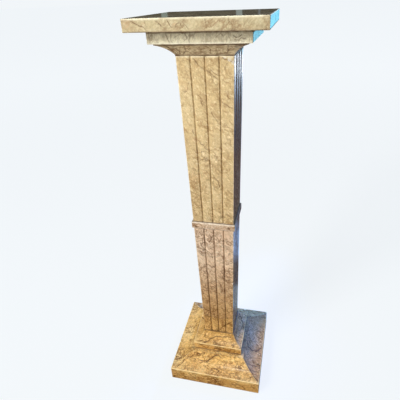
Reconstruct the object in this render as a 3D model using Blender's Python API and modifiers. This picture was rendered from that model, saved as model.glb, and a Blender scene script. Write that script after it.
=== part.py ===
"""Art deco column: a square, tapering marble pedestal of eight stacked pieces.

Metres, +Z up. The origin is the middle of the underside, and the front face looks towards -Y.
"""

import math

import bmesh
import bpy
from mathutils import Matrix

# ---- sizes -----------------------------------------------------------------
JOINT = 0.0003  # gap of the closed joint between two pieces

# heights of the joints and of the upright edges, measured from the floor
PLINTH_EDGE_TOP = 0.0490
PLINTH_TOP = 0.0830
STEP_EDGE_TOP = 0.1110
STEP_TOP = 0.1420
LOWER_SHAFT_TOP = 0.5560
COLLAR_TOP = 0.5750
UPPER_SHAFT_TOP = 0.9780
NECK_TOP = 1.0040
UNDER_SLAB_TOP = 1.0270
TOTAL_HEIGHT = 1.0500

# half widths, as every piece is square in plan
PLINTH_HALF = 0.1423
PLINTH_LEDGE_HALF = 0.0865  # outer edge of the flat ledge round the base step
STEP_HALF = 0.0776
STEP_LEDGE_HALF = 0.0488  # outer edge of the flat ledge round the shaft's foot
SHAFT_FOOT_HALF = 0.0463  # at the bottom of the lower shaft
SHAFT_HEAD_HALF = 0.0600  # at the top of the upper shaft
COLLAR_PROUD = 0.0040  # how far the collar stands out from the shaft
NECK_FOOT_HALF = 0.0604
NECK_HEAD_HALF = 0.0918
UNDER_SLAB_HALF = 0.1004
TOP_SLAB_HALF = 0.1317

# hollow curves: depth of the arc as a share of its chord
PLINTH_HOLLOW = 0.11
STEP_HOLLOW = 0.13
NECK_HOLLOW = 0.08
CURVE_STEPS = 16
PLINTH_LIP = 0.0015  # upright lip between the ledge and the hollow curve
STEP_LIP = 0.0010
NECK_LIP = 0.0022

# V-grooves of the shaft
GROOVES_PER_FACE = 3
GROOVE_WIDTH = 0.0046
GROOVE_DEPTH = 0.0030
GROOVE_OVERRUN = 0.0020  # how far the cutter reaches past the face and the ends

# rubbed-down arrises
SLAB_ARRIS = 0.0012
BLOCK_ARRIS = 0.0014
LIP_ARRIS = 0.0005
SHAFT_ARRIS = 0.0010
COLLAR_ARRIS = 0.0014
ARRIS_STEPS = 2

COLUMN = "art_deco_column"


# ---- scene and materials ---------------------------------------------------
def clear_scene():
    for obj in list(bpy.data.objects):
        bpy.data.objects.remove(obj, do_unlink=True)


def new_collection(name):
    collection = bpy.data.collections.new(name)
    bpy.context.scene.collection.children.link(collection)
    return collection


def marble(name, colour, roughness):
    """Polished stone, in the average colour of the piece."""
    material = bpy.data.materials.new(name)
    material.use_nodes = True
    shader = material.node_tree.nodes["Principled BSDF"]
    shader.inputs["Base Color"].default_value = (*colour, 1.0)
    shader.inputs["Roughness"].default_value = roughness
    shader.inputs["Metallic"].default_value = 0.0
    material.diffuse_color = (*colour, 1.0)
    return material


def add_object(name, bm, collection, material=None):
    mesh = bpy.data.meshes.new(name)
    bm.to_mesh(mesh)
    bm.free()
    if material:
        mesh.materials.append(material)
    obj = bpy.data.objects.new(name, mesh)
    collection.objects.link(obj)
    return obj


# ---- outlines --------------------------------------------------------------
def hollow_arc(start, end, depth_share, steps):
    """Points of a circular arc between two (half width, height) points, bowed towards the axis."""
    (r0, z0), (r1, z1) = start, end
    chord = math.hypot(r1 - r0, z1 - z0)
    along = ((r1 - r0) / chord, (z1 - z0) / chord)
    across = (-along[1], along[0])
    if across[0] > 0:
        across = (-across[0], -across[1])
    depth = depth_share * chord
    radius = (chord * chord / 4 + depth * depth) / (2 * depth)
    half_angle = math.asin(chord / 2 / radius)
    points = []
    for i in range(steps + 1):
        angle = half_angle * (2 * i / steps - 1)
        t = chord / 2 + radius * math.sin(angle)
        d = depth - radius * (1 - math.cos(angle))
        points.append(
            (r0 + along[0] * t + across[0] * d, z0 + along[1] * t + across[1] * d)
        )
    return points


def splayed_block_outline(half, edge_height, ledge_half, lip, height, hollow):
    """Upright edge, hollow splay, upright lip and flat top. It also returns the corners to rub down."""
    foot, shoulder = (half, 0.0), (half, edge_height)
    lip_foot, lip_head = (ledge_half, height - lip), (ledge_half, height)
    outline = [(0.0, 0.0), foot]
    outline += hollow_arc(shoulder, lip_foot, hollow, CURVE_STEPS)
    outline += [lip_head, (0.0, height)]
    return outline, {foot: 1.0, shoulder: 1.0, lip_head: LIP_ARRIS / BLOCK_ARRIS}


def flared_neck_outline(foot_half, head_half, lip, height, hollow):
    foot, foot_lip = (foot_half, 0.0), (foot_half, lip)
    head_lip, head = (head_half, height - lip), (head_half, height)
    outline = [(0.0, 0.0), foot]
    outline += hollow_arc(foot_lip, head_lip, hollow, CURVE_STEPS)
    outline += [head, (0.0, height)]
    small = LIP_ARRIS / BLOCK_ARRIS
    return outline, {foot: small, head_lip: small, head: small}


def shaft_half_at(height):
    """Half width of the shaft at a height above the floor: one straight taper runs through both lengths."""
    share = (height - STEP_TOP) / (UPPER_SHAFT_TOP - STEP_TOP)
    return SHAFT_FOOT_HALF + (SHAFT_HEAD_HALF - SHAFT_FOOT_HALF) * share


# ---- modelling -------------------------------------------------------------
def weigh_arrises(bm, corners):
    """Bevel weights for the rings through these outline corners, and for the upright arrises between them."""
    layer = bm.edges.layers.float.new("bevel_weight_edge")
    for edge in bm.edges:
        found = []
        for vert in edge.verts:
            place = (max(abs(vert.co.x), abs(vert.co.y)), vert.co.z)
            found += [w for corner, w in corners.items() if math.dist(place, corner) < 1e-5]
        if len(found) == 2 and edge.calc_face_angle(0.0) > 0.3:
            edge[layer] = min(found)


def moulded_block(name, outline, corners, collection, material):
    """Carries a (half width, height) outline round a square plan as four mitred sides."""
    bm = bmesh.new()
    chain = [bm.verts.new((r * math.sqrt(2), 0.0, z)) for r, z in outline]
    edges = [bm.edges.new(pair) for pair in zip(chain, chain[1:])]
    turn = Matrix.Rotation(math.radians(45), 3, "Z")
    bmesh.ops.rotate(bm, verts=chain, cent=(0, 0, 0), matrix=turn)
    bmesh.ops.spin(
        bm,
        geom=chain + edges,
        cent=(0, 0, 0),
        axis=(0, 0, 1),
        dvec=(0, 0, 0),
        angle=math.tau,
        steps=4,
        use_merge=True,
        use_duplicate=False,
    )
    bmesh.ops.remove_doubles(bm, verts=bm.verts[:], dist=1e-6)
    bmesh.ops.dissolve_limit(
        bm, angle_limit=math.radians(0.05), verts=bm.verts[:], edges=bm.edges[:]
    )
    bmesh.ops.recalc_face_normals(bm, faces=bm.faces[:])
    weigh_arrises(bm, corners)
    obj = add_object(name, bm, collection, material)
    bevel = obj.modifiers.new("rubbed arrises", "BEVEL")
    bevel.width = BLOCK_ARRIS
    bevel.segments = ARRIS_STEPS
    bevel.limit_method = "WEIGHT"
    return obj


def slab(name, half, thickness, arris, collection, material):
    bm = bmesh.new()
    place = Matrix.Translation((0, 0, thickness / 2)) @ Matrix.Diagonal(
        (2 * half, 2 * half, thickness, 1)
    )
    bmesh.ops.create_cube(bm, size=1.0, matrix=place)
    obj = add_object(name, bm, collection, material)
    bevel = obj.modifiers.new("rubbed arrises", "BEVEL")
    bevel.width = arris
    bevel.segments = ARRIS_STEPS
    return obj


def groove_cutter(name, foot_half, head_half, length, collection):
    """V-section prisms for the grooves of all four faces. They fan out with the taper of the shaft."""
    bm = bmesh.new()
    slope = (head_half - foot_half) / length
    low, high = -GROOVE_OVERRUN, length + GROOVE_OVERRUN
    low_half = foot_half + slope * low
    high_half = foot_half + slope * high
    mouth = GROOVE_WIDTH / 2 * (GROOVE_DEPTH + GROOVE_OVERRUN) / GROOVE_DEPTH
    for face in range(4):
        turn = Matrix.Rotation(math.radians(90 * face), 3, "Z")
        for i in range(GROOVES_PER_FACE):
            place = 2 * (i + 1) / (GROOVES_PER_FACE + 1) - 1
            x, y = place * low_half, -low_half
            section = [
                bm.verts.new((x - mouth, y - GROOVE_OVERRUN, low)),
                bm.verts.new((x, y + GROOVE_DEPTH, low)),
                bm.verts.new((x + mouth, y - GROOVE_OVERRUN, low)),
            ]
            end = bm.faces.new(section)
            grown = bmesh.ops.extrude_face_region(bm, geom=[end], use_keep_orig=True)
            moved = [v for v in grown["geom"] if isinstance(v, bmesh.types.BMVert)]
            widening = high_half - low_half
            bmesh.ops.translate(
                bm, verts=moved, vec=(place * widening, -widening, high - low)
            )
            bmesh.ops.rotate(
                bm, verts=section + moved, cent=(0, 0, 0), matrix=turn
            )
    bmesh.ops.recalc_face_normals(bm, faces=bm.faces[:])
    cutter = add_object(name, bm, collection)
    cutter.hide_render = True
    cutter.display_type = "WIRE"
    return cutter


def grooved_shaft(name, bottom, top, collection, cutters, material):
    """A length of the square tapered shaft between two heights, with its V-grooves cut full length."""
    length = top - bottom
    foot_half, head_half = shaft_half_at(bottom), shaft_half_at(top)
    bm = bmesh.new()
    bmesh.ops.create_cone(
        bm,
        cap_ends=True,
        cap_tris=False,
        segments=4,
        radius1=foot_half * math.sqrt(2),
        radius2=head_half * math.sqrt(2),
        depth=length,
        matrix=Matrix.Translation((0, 0, length / 2))
        @ Matrix.Rotation(math.radians(45), 4, "Z"),
    )
    obj = add_object(name, bm, collection, material)
    bevel = obj.modifiers.new("rubbed arrises", "BEVEL")
    bevel.width = SHAFT_ARRIS
    bevel.segments = ARRIS_STEPS
    cutter = groove_cutter(name + "_grooves", foot_half, head_half, length, cutters)
    cut = obj.modifiers.new("grooves", "BOOLEAN")
    cut.operation = "DIFFERENCE"
    cut.solver = "EXACT"
    cut.object = cutter
    return obj, cutter


# ---- the column ------------------------------------------------------------
def build():
    clear_scene()
    column = new_collection(COLUMN)
    cutters = new_collection("cutters")
    root = bpy.data.objects.new("column_origin", None)
    column.objects.link(root)

    def stand(obj, height):
        obj.parent = root
        obj.location = (0.0, 0.0, height)

    outline, corners = splayed_block_outline(
        PLINTH_HALF,
        PLINTH_EDGE_TOP,
        PLINTH_LEDGE_HALF,
        PLINTH_LIP,
        PLINTH_TOP,
        PLINTH_HOLLOW,
    )
    stone = marble("marble of the plinth", (0.60, 0.37, 0.14), 0.22)
    stand(moulded_block("plinth", outline, corners, column, stone), 0.0)

    bed = PLINTH_TOP + JOINT
    outline, corners = splayed_block_outline(
        STEP_HALF,
        STEP_EDGE_TOP - bed,
        STEP_LEDGE_HALF,
        STEP_LIP,
        STEP_TOP - bed,
        STEP_HOLLOW,
    )
    stone = marble("marble of the base step", (0.60, 0.38, 0.15), 0.22)
    stand(moulded_block("base_step", outline, corners, column, stone), bed)

    bed = STEP_TOP + JOINT
    stone = marble("marble of the lower shaft", (0.55, 0.41, 0.27), 0.20)
    for obj in grooved_shaft(
        "lower_shaft", bed, LOWER_SHAFT_TOP, column, cutters, stone
    ):
        stand(obj, bed)

    bed = LOWER_SHAFT_TOP + JOINT
    stone = marble("marble of the collar", (0.61, 0.47, 0.31), 0.20)
    collar_half = shaft_half_at((bed + COLLAR_TOP) / 2) + COLLAR_PROUD
    stand(
        slab("collar", collar_half, COLLAR_TOP - bed, COLLAR_ARRIS, column, stone), bed
    )

    bed = COLLAR_TOP + JOINT
    stone = marble("marble of the upper shaft", (0.62, 0.48, 0.27), 0.20)
    for obj in grooved_shaft(
        "upper_shaft", bed, UPPER_SHAFT_TOP, column, cutters, stone
    ):
        stand(obj, bed)

    bed = UPPER_SHAFT_TOP + JOINT
    outline, corners = flared_neck_outline(
        NECK_FOOT_HALF, NECK_HEAD_HALF, NECK_LIP, NECK_TOP - bed, NECK_HOLLOW
    )
    stone = marble("marble of the neck", (0.50, 0.40, 0.26), 0.20)
    stand(moulded_block("neck_moulding", outline, corners, column, stone), bed)

    bed = NECK_TOP + JOINT
    stone = marble("marble of the under slab", (0.52, 0.46, 0.33), 0.18)
    stand(
        slab("under_slab", UNDER_SLAB_HALF, UNDER_SLAB_TOP - bed, SLAB_ARRIS, column, stone),
        bed,
    )

    bed = UNDER_SLAB_TOP + JOINT
    stone = marble("marble of the top slab", (0.64, 0.53, 0.32), 0.12)
    stand(
        slab("top_slab", TOP_SLAB_HALF, TOTAL_HEIGHT - bed, SLAB_ARRIS, column, stone),
        bed,
    )


build()
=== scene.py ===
import math
import random

import bpy
import numpy as np
from mathutils import Matrix, Vector


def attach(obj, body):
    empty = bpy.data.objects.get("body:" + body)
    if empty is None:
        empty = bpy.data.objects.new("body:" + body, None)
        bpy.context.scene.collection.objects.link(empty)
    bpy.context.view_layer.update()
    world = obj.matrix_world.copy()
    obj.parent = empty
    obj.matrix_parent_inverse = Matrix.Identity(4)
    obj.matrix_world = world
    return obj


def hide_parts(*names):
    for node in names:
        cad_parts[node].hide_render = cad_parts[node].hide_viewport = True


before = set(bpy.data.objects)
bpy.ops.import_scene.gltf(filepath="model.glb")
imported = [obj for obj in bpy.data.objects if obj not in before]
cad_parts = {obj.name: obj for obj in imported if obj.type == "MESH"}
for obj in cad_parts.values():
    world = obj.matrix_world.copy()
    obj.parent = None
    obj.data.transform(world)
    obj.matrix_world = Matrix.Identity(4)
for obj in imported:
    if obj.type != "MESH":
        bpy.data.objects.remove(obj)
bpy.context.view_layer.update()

# ---- sizes of the column, in metres ----------------------------------------
JOINT = 0.0003
PLINTH_EDGE_TOP = 0.0490
PLINTH_TOP = 0.0830
STEP_EDGE_TOP = 0.1110
STEP_TOP = 0.1420
LOWER_SHAFT_TOP = 0.5560
COLLAR_TOP = 0.5750
UPPER_SHAFT_TOP = 0.9780
NECK_TOP = 1.0040
UNDER_SLAB_TOP = 1.0270
TOTAL_HEIGHT = 1.0500

PLINTH_HALF = 0.1423
PLINTH_LEDGE_HALF = 0.0865
STEP_HALF = 0.0776
STEP_LEDGE_HALF = 0.0488
SHAFT_FOOT_HALF = 0.0463
SHAFT_HEAD_HALF = 0.0600
COLLAR_PROUD = 0.0040
NECK_FOOT_HALF = 0.0604
NECK_HEAD_HALF = 0.0918
UNDER_SLAB_HALF = 0.1004
TOP_SLAB_HALF = 0.1317

PLINTH_HOLLOW = 0.11
STEP_HOLLOW = 0.13
NECK_HOLLOW = 0.08
PLINTH_LIP = 0.0015
STEP_LIP = 0.0010
NECK_LIP = 0.0022

GROOVES_PER_FACE = 3
GROOVE_WIDTH = 0.0046
GROOVE_DEPTH = 0.0030

GRAIN = 0.0021  # spacing of the mesh on open faces
CORNER_STOPS = (0.0, 0.0004, 0.0009, 0.0015, 0.0024, 0.0038)
DEEPEST_WAVE = 0.00016  # unevenness left by hand polishing
INNERMOST = 0.0125  # half width of the last ring on a bed


# ---- outlines --------------------------------------------------------------
def hollow_arc(start, end, depth_share, steps):
    """Points of a circular arc between two (half width, height) points, bowed towards the axis."""
    (r0, z0), (r1, z1) = start, end
    chord = math.hypot(r1 - r0, z1 - z0)
    along = ((r1 - r0) / chord, (z1 - z0) / chord)
    across = (-along[1], along[0])
    if across[0] > 0:
        across = (-across[0], -across[1])
    depth = depth_share * chord
    radius = (chord * chord / 4 + depth * depth) / (2 * depth)
    half_angle = math.asin(chord / 2 / radius)
    points = []
    for i in range(steps + 1):
        angle = half_angle * (2 * i / steps - 1)
        t = chord / 2 + radius * math.sin(angle)
        d = depth - radius * (1 - math.cos(angle))
        points.append(
            (r0 + along[0] * t + across[0] * d, z0 + along[1] * t + across[1] * d)
        )
    return points


def eased(points, radii, steps=5):
    """The outline with the named corners rounded. radii maps a corner's index to its radius and how far it is rubbed
    pale and painted with a highlight.
    """
    out = []
    for i, p in enumerate(points):
        radius, rubbed = radii.get(i, (0.0, 0.0))
        if not radius or i in (0, len(points) - 1):
            out.append((p[0], p[1], 0.0))
            continue
        p = np.array(p)
        before = np.array(points[i - 1]) - p
        after = np.array(points[i + 1]) - p
        room = 0.48 * min(np.linalg.norm(before), np.linalg.norm(after))
        before /= np.linalg.norm(before)
        after /= np.linalg.norm(after)
        half_turn = math.acos(max(-1.0, min(1.0, float(before @ after)))) / 2
        reach = min(radius / math.tan(half_turn), room) if half_turn < 1.5 else 0.0
        if not reach:
            out.append((p[0], p[1], 0.0))
            continue
        start, end = p + before * reach, p + after * reach
        for k in range(steps + 1):
            t = k / steps
            q = (1 - t) ** 2 * start + 2 * t * (1 - t) * p + t * t * end
            out.append((q[0], q[1], rubbed))
    return out


def spaced(outline, step_at):
    """The outline with its long stretches cut into steps. step_at gives the step at a (half width, height) point."""
    out = [outline[0]]
    for a, b in zip(outline, outline[1:]):
        a, b = np.array(a), np.array(b)
        length = np.linalg.norm(b[:2] - a[:2])
        count = max(1, round(length / step_at(*((a + b) / 2)[:2])))
        for k in range(1, count + 1):
            t = k / count
            q = a + (b - a) * t
            if count > 1 and k < count:
                q[2] = max(
                    a[2] * max(0.0, 1 - t * length / 0.0026),
                    b[2] * max(0.0, 1 - (1 - t) * length / 0.0026),
                )
            out.append(tuple(q))
    return out


def shaft_half_at(height):
    share = (height - STEP_TOP) / (UPPER_SHAFT_TOP - STEP_TOP)
    return SHAFT_FOOT_HALF + (SHAFT_HEAD_HALF - SHAFT_FOOT_HALF) * share


# ---- plan of one side ------------------------------------------------------
def plain_side(half, count):
    """Places along a side of a square ring, with more of them by the corners: (offset, recess, dirt and painted
    shade).
    """
    near = np.array(CORNER_STOPS)
    inner = half - near[-1]
    middle = np.linspace(-inner, inner, count + 1)
    offsets = np.concatenate([-half + near[:-1], middle, (half - near[1:-1])[::-1]])
    return offsets, np.zeros(len(offsets)), np.zeros(len(offsets))


EASING = 0.00081  # the flats of the shaft fall away a little towards each groove
EASED_REACH = 0.0103
GROOVE_STOPS = (-2.36, -2.24, -2.10, -1.35, -0.62, -0.54, -0.47, -0.36, -0.18, -0.07, 0.0, 0.07, 0.18, 0.36, 0.47, 0.54, 0.62, 1.35, 2.10, 2.24, 2.36)


def groove_recess(share):
    """Depth of a groove at a place across it, in widths of the groove: a V with rubbed lips and a soft bottom."""
    x = abs(share) * 2
    if x > 1.24:
        return 0.0
    v = max(0.0, 1.0 - x)
    lip = 0.5 * (1 - math.cos(math.pi * min(1.0, max(0.0, (1.24 - x) / 0.36))))
    soft = math.sqrt(v * v + 0.0018) - math.sqrt(0.0018) if v > 0 else 0.0
    bottom = 1.0 - math.sqrt(x * x + 0.012) + math.sqrt(0.012)
    depth = min(v if x > 0.4 else bottom * 0.97, 1.0)
    return max(0.0, depth) * 0.97 + 0.03 * lip * (1 - v) + 0.0 * soft


def grooved_side(half, count):
    """The same for a side of the shaft: the flats between the V-grooves, and the grooves."""
    near = np.array(CORNER_STOPS)
    edges = [-half + near[-1]]
    offsets, recess, dirt = list(-half + near[:-1]), [0.0] * (len(near) - 1), [0.0] * (len(near) - 1)
    reach = GROOVE_STOPS[-1] * GROOVE_WIDTH
    for i in range(GROOVES_PER_FACE):
        centre = (2 * (i + 1) / (GROOVES_PER_FACE + 1) - 1) * half
        flat = np.linspace(edges[-1], centre - reach, count + 1)[:-1]
        offsets += list(flat)
        recess += [0.0] * len(flat)
        dirt += [0.0] * len(flat)
        for stop in GROOVE_STOPS[:-1]:
            offsets.append(centre + stop * GROOVE_WIDTH)
            recess.append(groove_recess(stop) * GROOVE_DEPTH)
            # darker with the depth of the groove: dirt, and painted shade in the recess
            dirt.append(groove_recess(stop) ** 1.5)
        edges.append(centre + reach)
    flat = np.linspace(edges[-1], half - near[-1], count + 1)
    offsets += list(flat) + list((half - near[1:-1])[::-1])
    rest = len(flat) + len(near) - 2
    recess += [0.0] * rest
    dirt += [0.0] * rest
    offsets, recess = np.array(offsets), np.array(recess)
    for i in range(GROOVES_PER_FACE):
        centre = (2 * (i + 1) / (GROOVES_PER_FACE + 1) - 1) * half
        away = np.abs(offsets - centre)
        recess += EASING * np.clip(1 - away / EASED_REACH, 0, 1)
    return offsets, recess, np.array(dirt)


def ring_points(half, height, side, count, corner):
    """One closed ring round the block: four sides, with the upright corners rounded."""
    offsets, recess, dirt = side(half, count)
    corner = min(corner, half * 0.2)
    inner = half - corner
    x, y = offsets.copy(), np.full(len(offsets), -half)
    cx = np.clip(x, -inner, inner)
    out = np.stack([x - cx, np.full(len(x), -corner)], 1)
    out *= (corner / np.linalg.norm(out, axis=1))[:, None]
    x = cx + out[:, 0]
    y = -inner + out[:, 1] + recess
    # upright arrises are made paler: rubbed wear with a painted highlight
    wear = 0.45 * np.clip(1 - (half - np.abs(offsets)) / 0.0022, 0, 1)
    points = []
    for face in range(4):
        c, s = [(1, 0), (0, 1), (-1, 0), (0, -1)][face]
        points.append(np.stack([c * x - s * y, s * x + c * y, np.full(len(x), height)], 1))
    return np.concatenate(points), np.tile(dirt, 4), np.tile(wear, 4)


# ---- turning outlines into pieces ------------------------------------------
def lattice(seed, cells):
    state = np.random.RandomState(seed)
    return state.rand(cells, cells, cells)


def soft_noise(points, size, seed):
    """Smooth value noise from 0 to 1, with one value for every cube of this size."""
    grid = lattice(seed, 32)
    q = points / size
    base = np.floor(q).astype(int)
    f = q - base
    f = f * f * (3 - 2 * f)
    total = np.zeros(len(points))
    for dx in (0, 1):
        for dy in (0, 1):
            for dz in (0, 1):
                w = (
                    (f[:, 0] if dx else 1 - f[:, 0])
                    * (f[:, 1] if dy else 1 - f[:, 1])
                    * (f[:, 2] if dz else 1 - f[:, 2])
                )
                idx = (base + (dx, dy, dz)) % 32
                total += w * grid[idx[:, 0], idx[:, 1], idx[:, 2]]
    return total


def outward(points, half_of):
    """Unit direction from the axis side of the ring towards its nearest face."""
    out = np.zeros_like(points)
    ax, ay = np.abs(points[:, 0]), np.abs(points[:, 1])
    out[:, 0] = np.where(ax >= ay, np.sign(points[:, 0]), 0)
    out[:, 1] = np.where(ax < ay, np.sign(points[:, 1]), 0)
    return out


def block_mesh(name, outline, side, count, corner, seed, chips=()):
    """Lofts rings along an outline of (half width, height, wear and painted highlight) and closes both beds."""
    rings, dirts, wears = [], [], []
    for half, height, wear in outline:
        p, d, w = ring_points(half, height, side, count, corner)
        rings.append(p)
        dirts.append(d)
        wears.append(np.maximum(w, wear))
    n, m = len(rings[0]), len(rings)
    points = np.concatenate(rings)
    dirt, wear = np.concatenate(dirts), np.concatenate(wears)

    # unevenness from hand polishing, always into the stone
    low, high = points[:, 2].min(), points[:, 2].max()
    upright = np.clip(np.minimum(points[:, 2] - low, high - points[:, 2]) / 0.004, 0, 1)
    wave = 0.65 * soft_noise(points, 0.035, seed) + 0.35 * soft_noise(points, 0.011, seed + 1)
    points -= outward(points, None) * (wave * DEEPEST_WAVE * upright)[:, None]

    # nicks on the arrises
    chipped = np.zeros(len(points))
    middle = np.array([0, 0, (low + high) / 2])
    for centre, reach, depth in chips:
        centre = np.array(centre)
        away = np.linalg.norm((points - centre) * (1, 1, 1.25), axis=1)
        ragged = reach * (0.75 + 0.5 * soft_noise(points, reach * 0.45, seed + 7))
        share = np.clip(1 - (away / ragged) ** 2, 0, 1)
        inwards = middle - centre
        inwards[2] *= 2.0
        inwards /= np.linalg.norm(inwards)
        points += inwards * (share * depth)[:, None]
        chipped = np.maximum(chipped, share)

    faces = []
    idx = np.arange(n)
    nxt = (idx + 1) % n
    for r in range(m - 1):
        a, b = r * n, (r + 1) * n
        faces.append(np.stack([a + idx, a + nxt, b + nxt, b + idx], 1))
    quads = np.concatenate(faces)
    mesh = bpy.data.meshes.new(name)
    loops = np.concatenate([quads.ravel(), idx[::-1], (m - 1) * n + idx])
    starts = np.concatenate([np.arange(len(quads)) * 4, [len(quads) * 4, len(quads) * 4 + n]])
    mesh.vertices.add(len(points))
    mesh.vertices.foreach_set("co", points.astype(np.float32).ravel())
    mesh.loops.add(len(loops))
    mesh.loops.foreach_set("vertex_index", loops.astype(np.int32))
    mesh.polygons.add(len(starts))
    mesh.polygons.foreach_set("loop_start", starts.astype(np.int32))
    mesh.update(calc_edges=True)
    mesh.validate()
    mesh.shade_smooth()
    return mesh, points, dirt, wear, chipped


# ---- veins laid on the stone -----------------------------------------------
def wandering(corners, seed, wobble=0.0016, step=0.004):
    """A vein through these corners, subdivided and made to wander a little."""
    rnd = random.Random(seed)
    out = []
    for a, b in zip(corners, corners[1:]):
        a, b = np.array(a), np.array(b)
        count = max(1, int(np.linalg.norm(b - a) / step))
        for k in range(count):
            q = a + (b - a) * k / count
            if k:
                q = q + np.array([rnd.uniform(-1, 1) for _ in range(3)]) * wobble
            out.append(q)
    out.append(np.array(corners[-1]))
    return out


def vein_fields(points, normals, veins, seed):
    """For three layers of veins: signed distance, strength and width at every vertex."""
    layers = [np.zeros((len(points), 3)) for _ in range(3)]
    for layer in layers:
        layer[:, 0] = 0.02
    nearest = [np.full(len(points), 1.0) for _ in range(3)]
    for i, (which, width, power, corners) in enumerate(veins):
        line = wandering(corners, seed + i)
        best = np.full(len(points), 1.0)
        signed = np.full(len(points), 0.02)
        strength = np.zeros(len(points))
        total = len(line) - 1
        for k, (a, b) in enumerate(zip(line, line[1:])):
            ab = b - a
            length2 = float(ab @ ab) + 1e-12
            t = ((points - a) @ ab) / length2
            tc = np.clip(t, 0, 1)
            rel = points - (a + tc[:, None] * ab)
            away = np.linalg.norm(rel, axis=1)
            side = np.sign(np.einsum("ij,ij->i", np.cross(ab, normals), rel))
            place = (k + tc) / total
            fade = np.clip(np.minimum(place, 1 - place) / 0.16, 0, 1) ** 0.5
            take = away < best
            best[take] = away[take]
            signed[take] = (away * np.where(side == 0, 1, side))[take]
            strength[take] = fade[take]
        near = np.clip((0.0095 - best) / 0.004, 0, 1)
        take = (best < nearest[which]) & (near > 0)
        nearest[which][take] = best[take]
        layers[which][take, 0] = signed[take]
        layers[which][take, 1] = (strength * near * power)[take]
        layers[which][take, 2] = width
    return layers


def patch_field(points, patches):
    """Cones of influence of the darker, redder and paler patches."""
    out = np.zeros((len(points), 3))
    for which, radius, centre in patches:
        away = np.linalg.norm(points - np.array(centre), axis=1)
        out[:, which] = np.maximum(out[:, which], np.clip(1 - away / radius, 0, 1))
    return out


def put_float(mesh, name, values):
    layer = mesh.attributes.new(name, "FLOAT", "POINT")
    layer.data.foreach_set("value", values.astype(np.float32))


def put_vector(mesh, name, values):
    layer = mesh.attributes.new(name, "FLOAT_VECTOR", "POINT")
    layer.data.foreach_set("vector", values.astype(np.float32).ravel())


# ---- material nodes --------------------------------------------------------
class Stone:
    """A small helper for building a node tree from left to right."""

    def __init__(self, name):
        self.material = bpy.data.materials.new(name)
        self.material.use_nodes = True
        self.tree = self.material.node_tree
        self.shader = self.tree.nodes["Principled BSDF"]
        self.output = self.tree.nodes["Material Output"]
        self.count = 0

    def new(self, kind):
        node = self.tree.nodes.new(kind)
        node.location = (-250 * (1 + self.count % 12), -220 * (self.count // 12))
        self.count += 1
        return node

    def feed(self, socket, value):
        if isinstance(value, bpy.types.NodeSocket):
            self.tree.links.new(value, socket)
        elif isinstance(value, (tuple, list)) and len(value) == 3 and socket.type == "RGBA":
            socket.default_value = (*value, 1.0)
        else:
            socket.default_value = value

    def math(self, op, a, b=None, c=None, clamp=False):
        node = self.new("ShaderNodeMath")
        node.operation = op
        node.use_clamp = clamp
        for socket, value in zip(node.inputs, (a, b, c)):
            if value is not None:
                self.feed(socket, value)
        return node.outputs[0]

    def vector(self, op, a, b=None, scale=None):
        node = self.new("ShaderNodeVectorMath")
        node.operation = op
        self.feed(node.inputs[0], a)
        if b is not None:
            self.feed(node.inputs[1], b)
        if scale is not None:
            self.feed(node.inputs["Scale"], scale)
        return node.outputs[0]

    def noise(self, place, scale, detail=3.0, rough=0.55, distortion=0.0, colour=False):
        node = self.new("ShaderNodeTexNoise")
        self.feed(node.inputs["Vector"], place)
        node.inputs["Scale"].default_value = scale
        node.inputs["Detail"].default_value = detail
        node.inputs["Roughness"].default_value = rough
        node.inputs["Distortion"].default_value = distortion
        return node.outputs["Color" if colour else "Fac"]

    def cells(self, place, scale, feature="DISTANCE_TO_EDGE", colour=False):
        node = self.new("ShaderNodeTexVoronoi")
        node.feature = feature
        self.feed(node.inputs["Vector"], place)
        node.inputs["Scale"].default_value = scale
        node.inputs["Randomness"].default_value = 1.0
        return node.outputs["Color" if colour else "Distance"]

    def between(self, value, low, high, to_low=0.0, to_high=1.0):
        node = self.new("ShaderNodeMapRange")
        node.interpolation_type = "SMOOTHSTEP"
        self.feed(node.inputs["Value"], value)
        for key, number in (
            ("From Min", low),
            ("From Max", high),
            ("To Min", to_low),
            ("To Max", to_high),
        ):
            self.feed(node.inputs[key], number)
        return node.outputs["Result"]

    def ramp(self, value, stops):
        node = self.new("ShaderNodeValToRGB")
        self.feed(node.inputs["Fac"], value)
        ramp = node.color_ramp
        ramp.interpolation = "B_SPLINE"
        while len(ramp.elements) > 1:
            ramp.elements.remove(ramp.elements[-1])
        ramp.elements[0].position = stops[0][0]
        ramp.elements[0].color = (*stops[0][1], 1.0)
        for place, colour in stops[1:]:
            element = ramp.elements.new(place)
            element.color = (*colour, 1.0)
        return node.outputs["Color"]

    def mix(self, share, a, b, blend="MIX"):
        node = self.new("ShaderNodeMix")
        node.data_type = "RGBA"
        node.blend_type = blend
        node.clamp_factor = True
        self.feed(node.inputs["Factor"], share)
        self.feed(node.inputs[6], a)
        self.feed(node.inputs[7], b)
        return node.outputs[2]

    def attribute(self, name, vector=False):
        node = self.new("ShaderNodeAttribute")
        node.attribute_name = name
        return node.outputs["Vector" if vector else "Fac"]

    def split(self, value):
        node = self.new("ShaderNodeSeparateXYZ")
        self.feed(node.inputs[0], value)
        return node.outputs


def scaled(colour, by):
    return tuple(min(1.0, c * by) for c in colour)


def toward(a, b, share):
    return tuple(x + (y - x) * share for x, y in zip(a, b))


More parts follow.
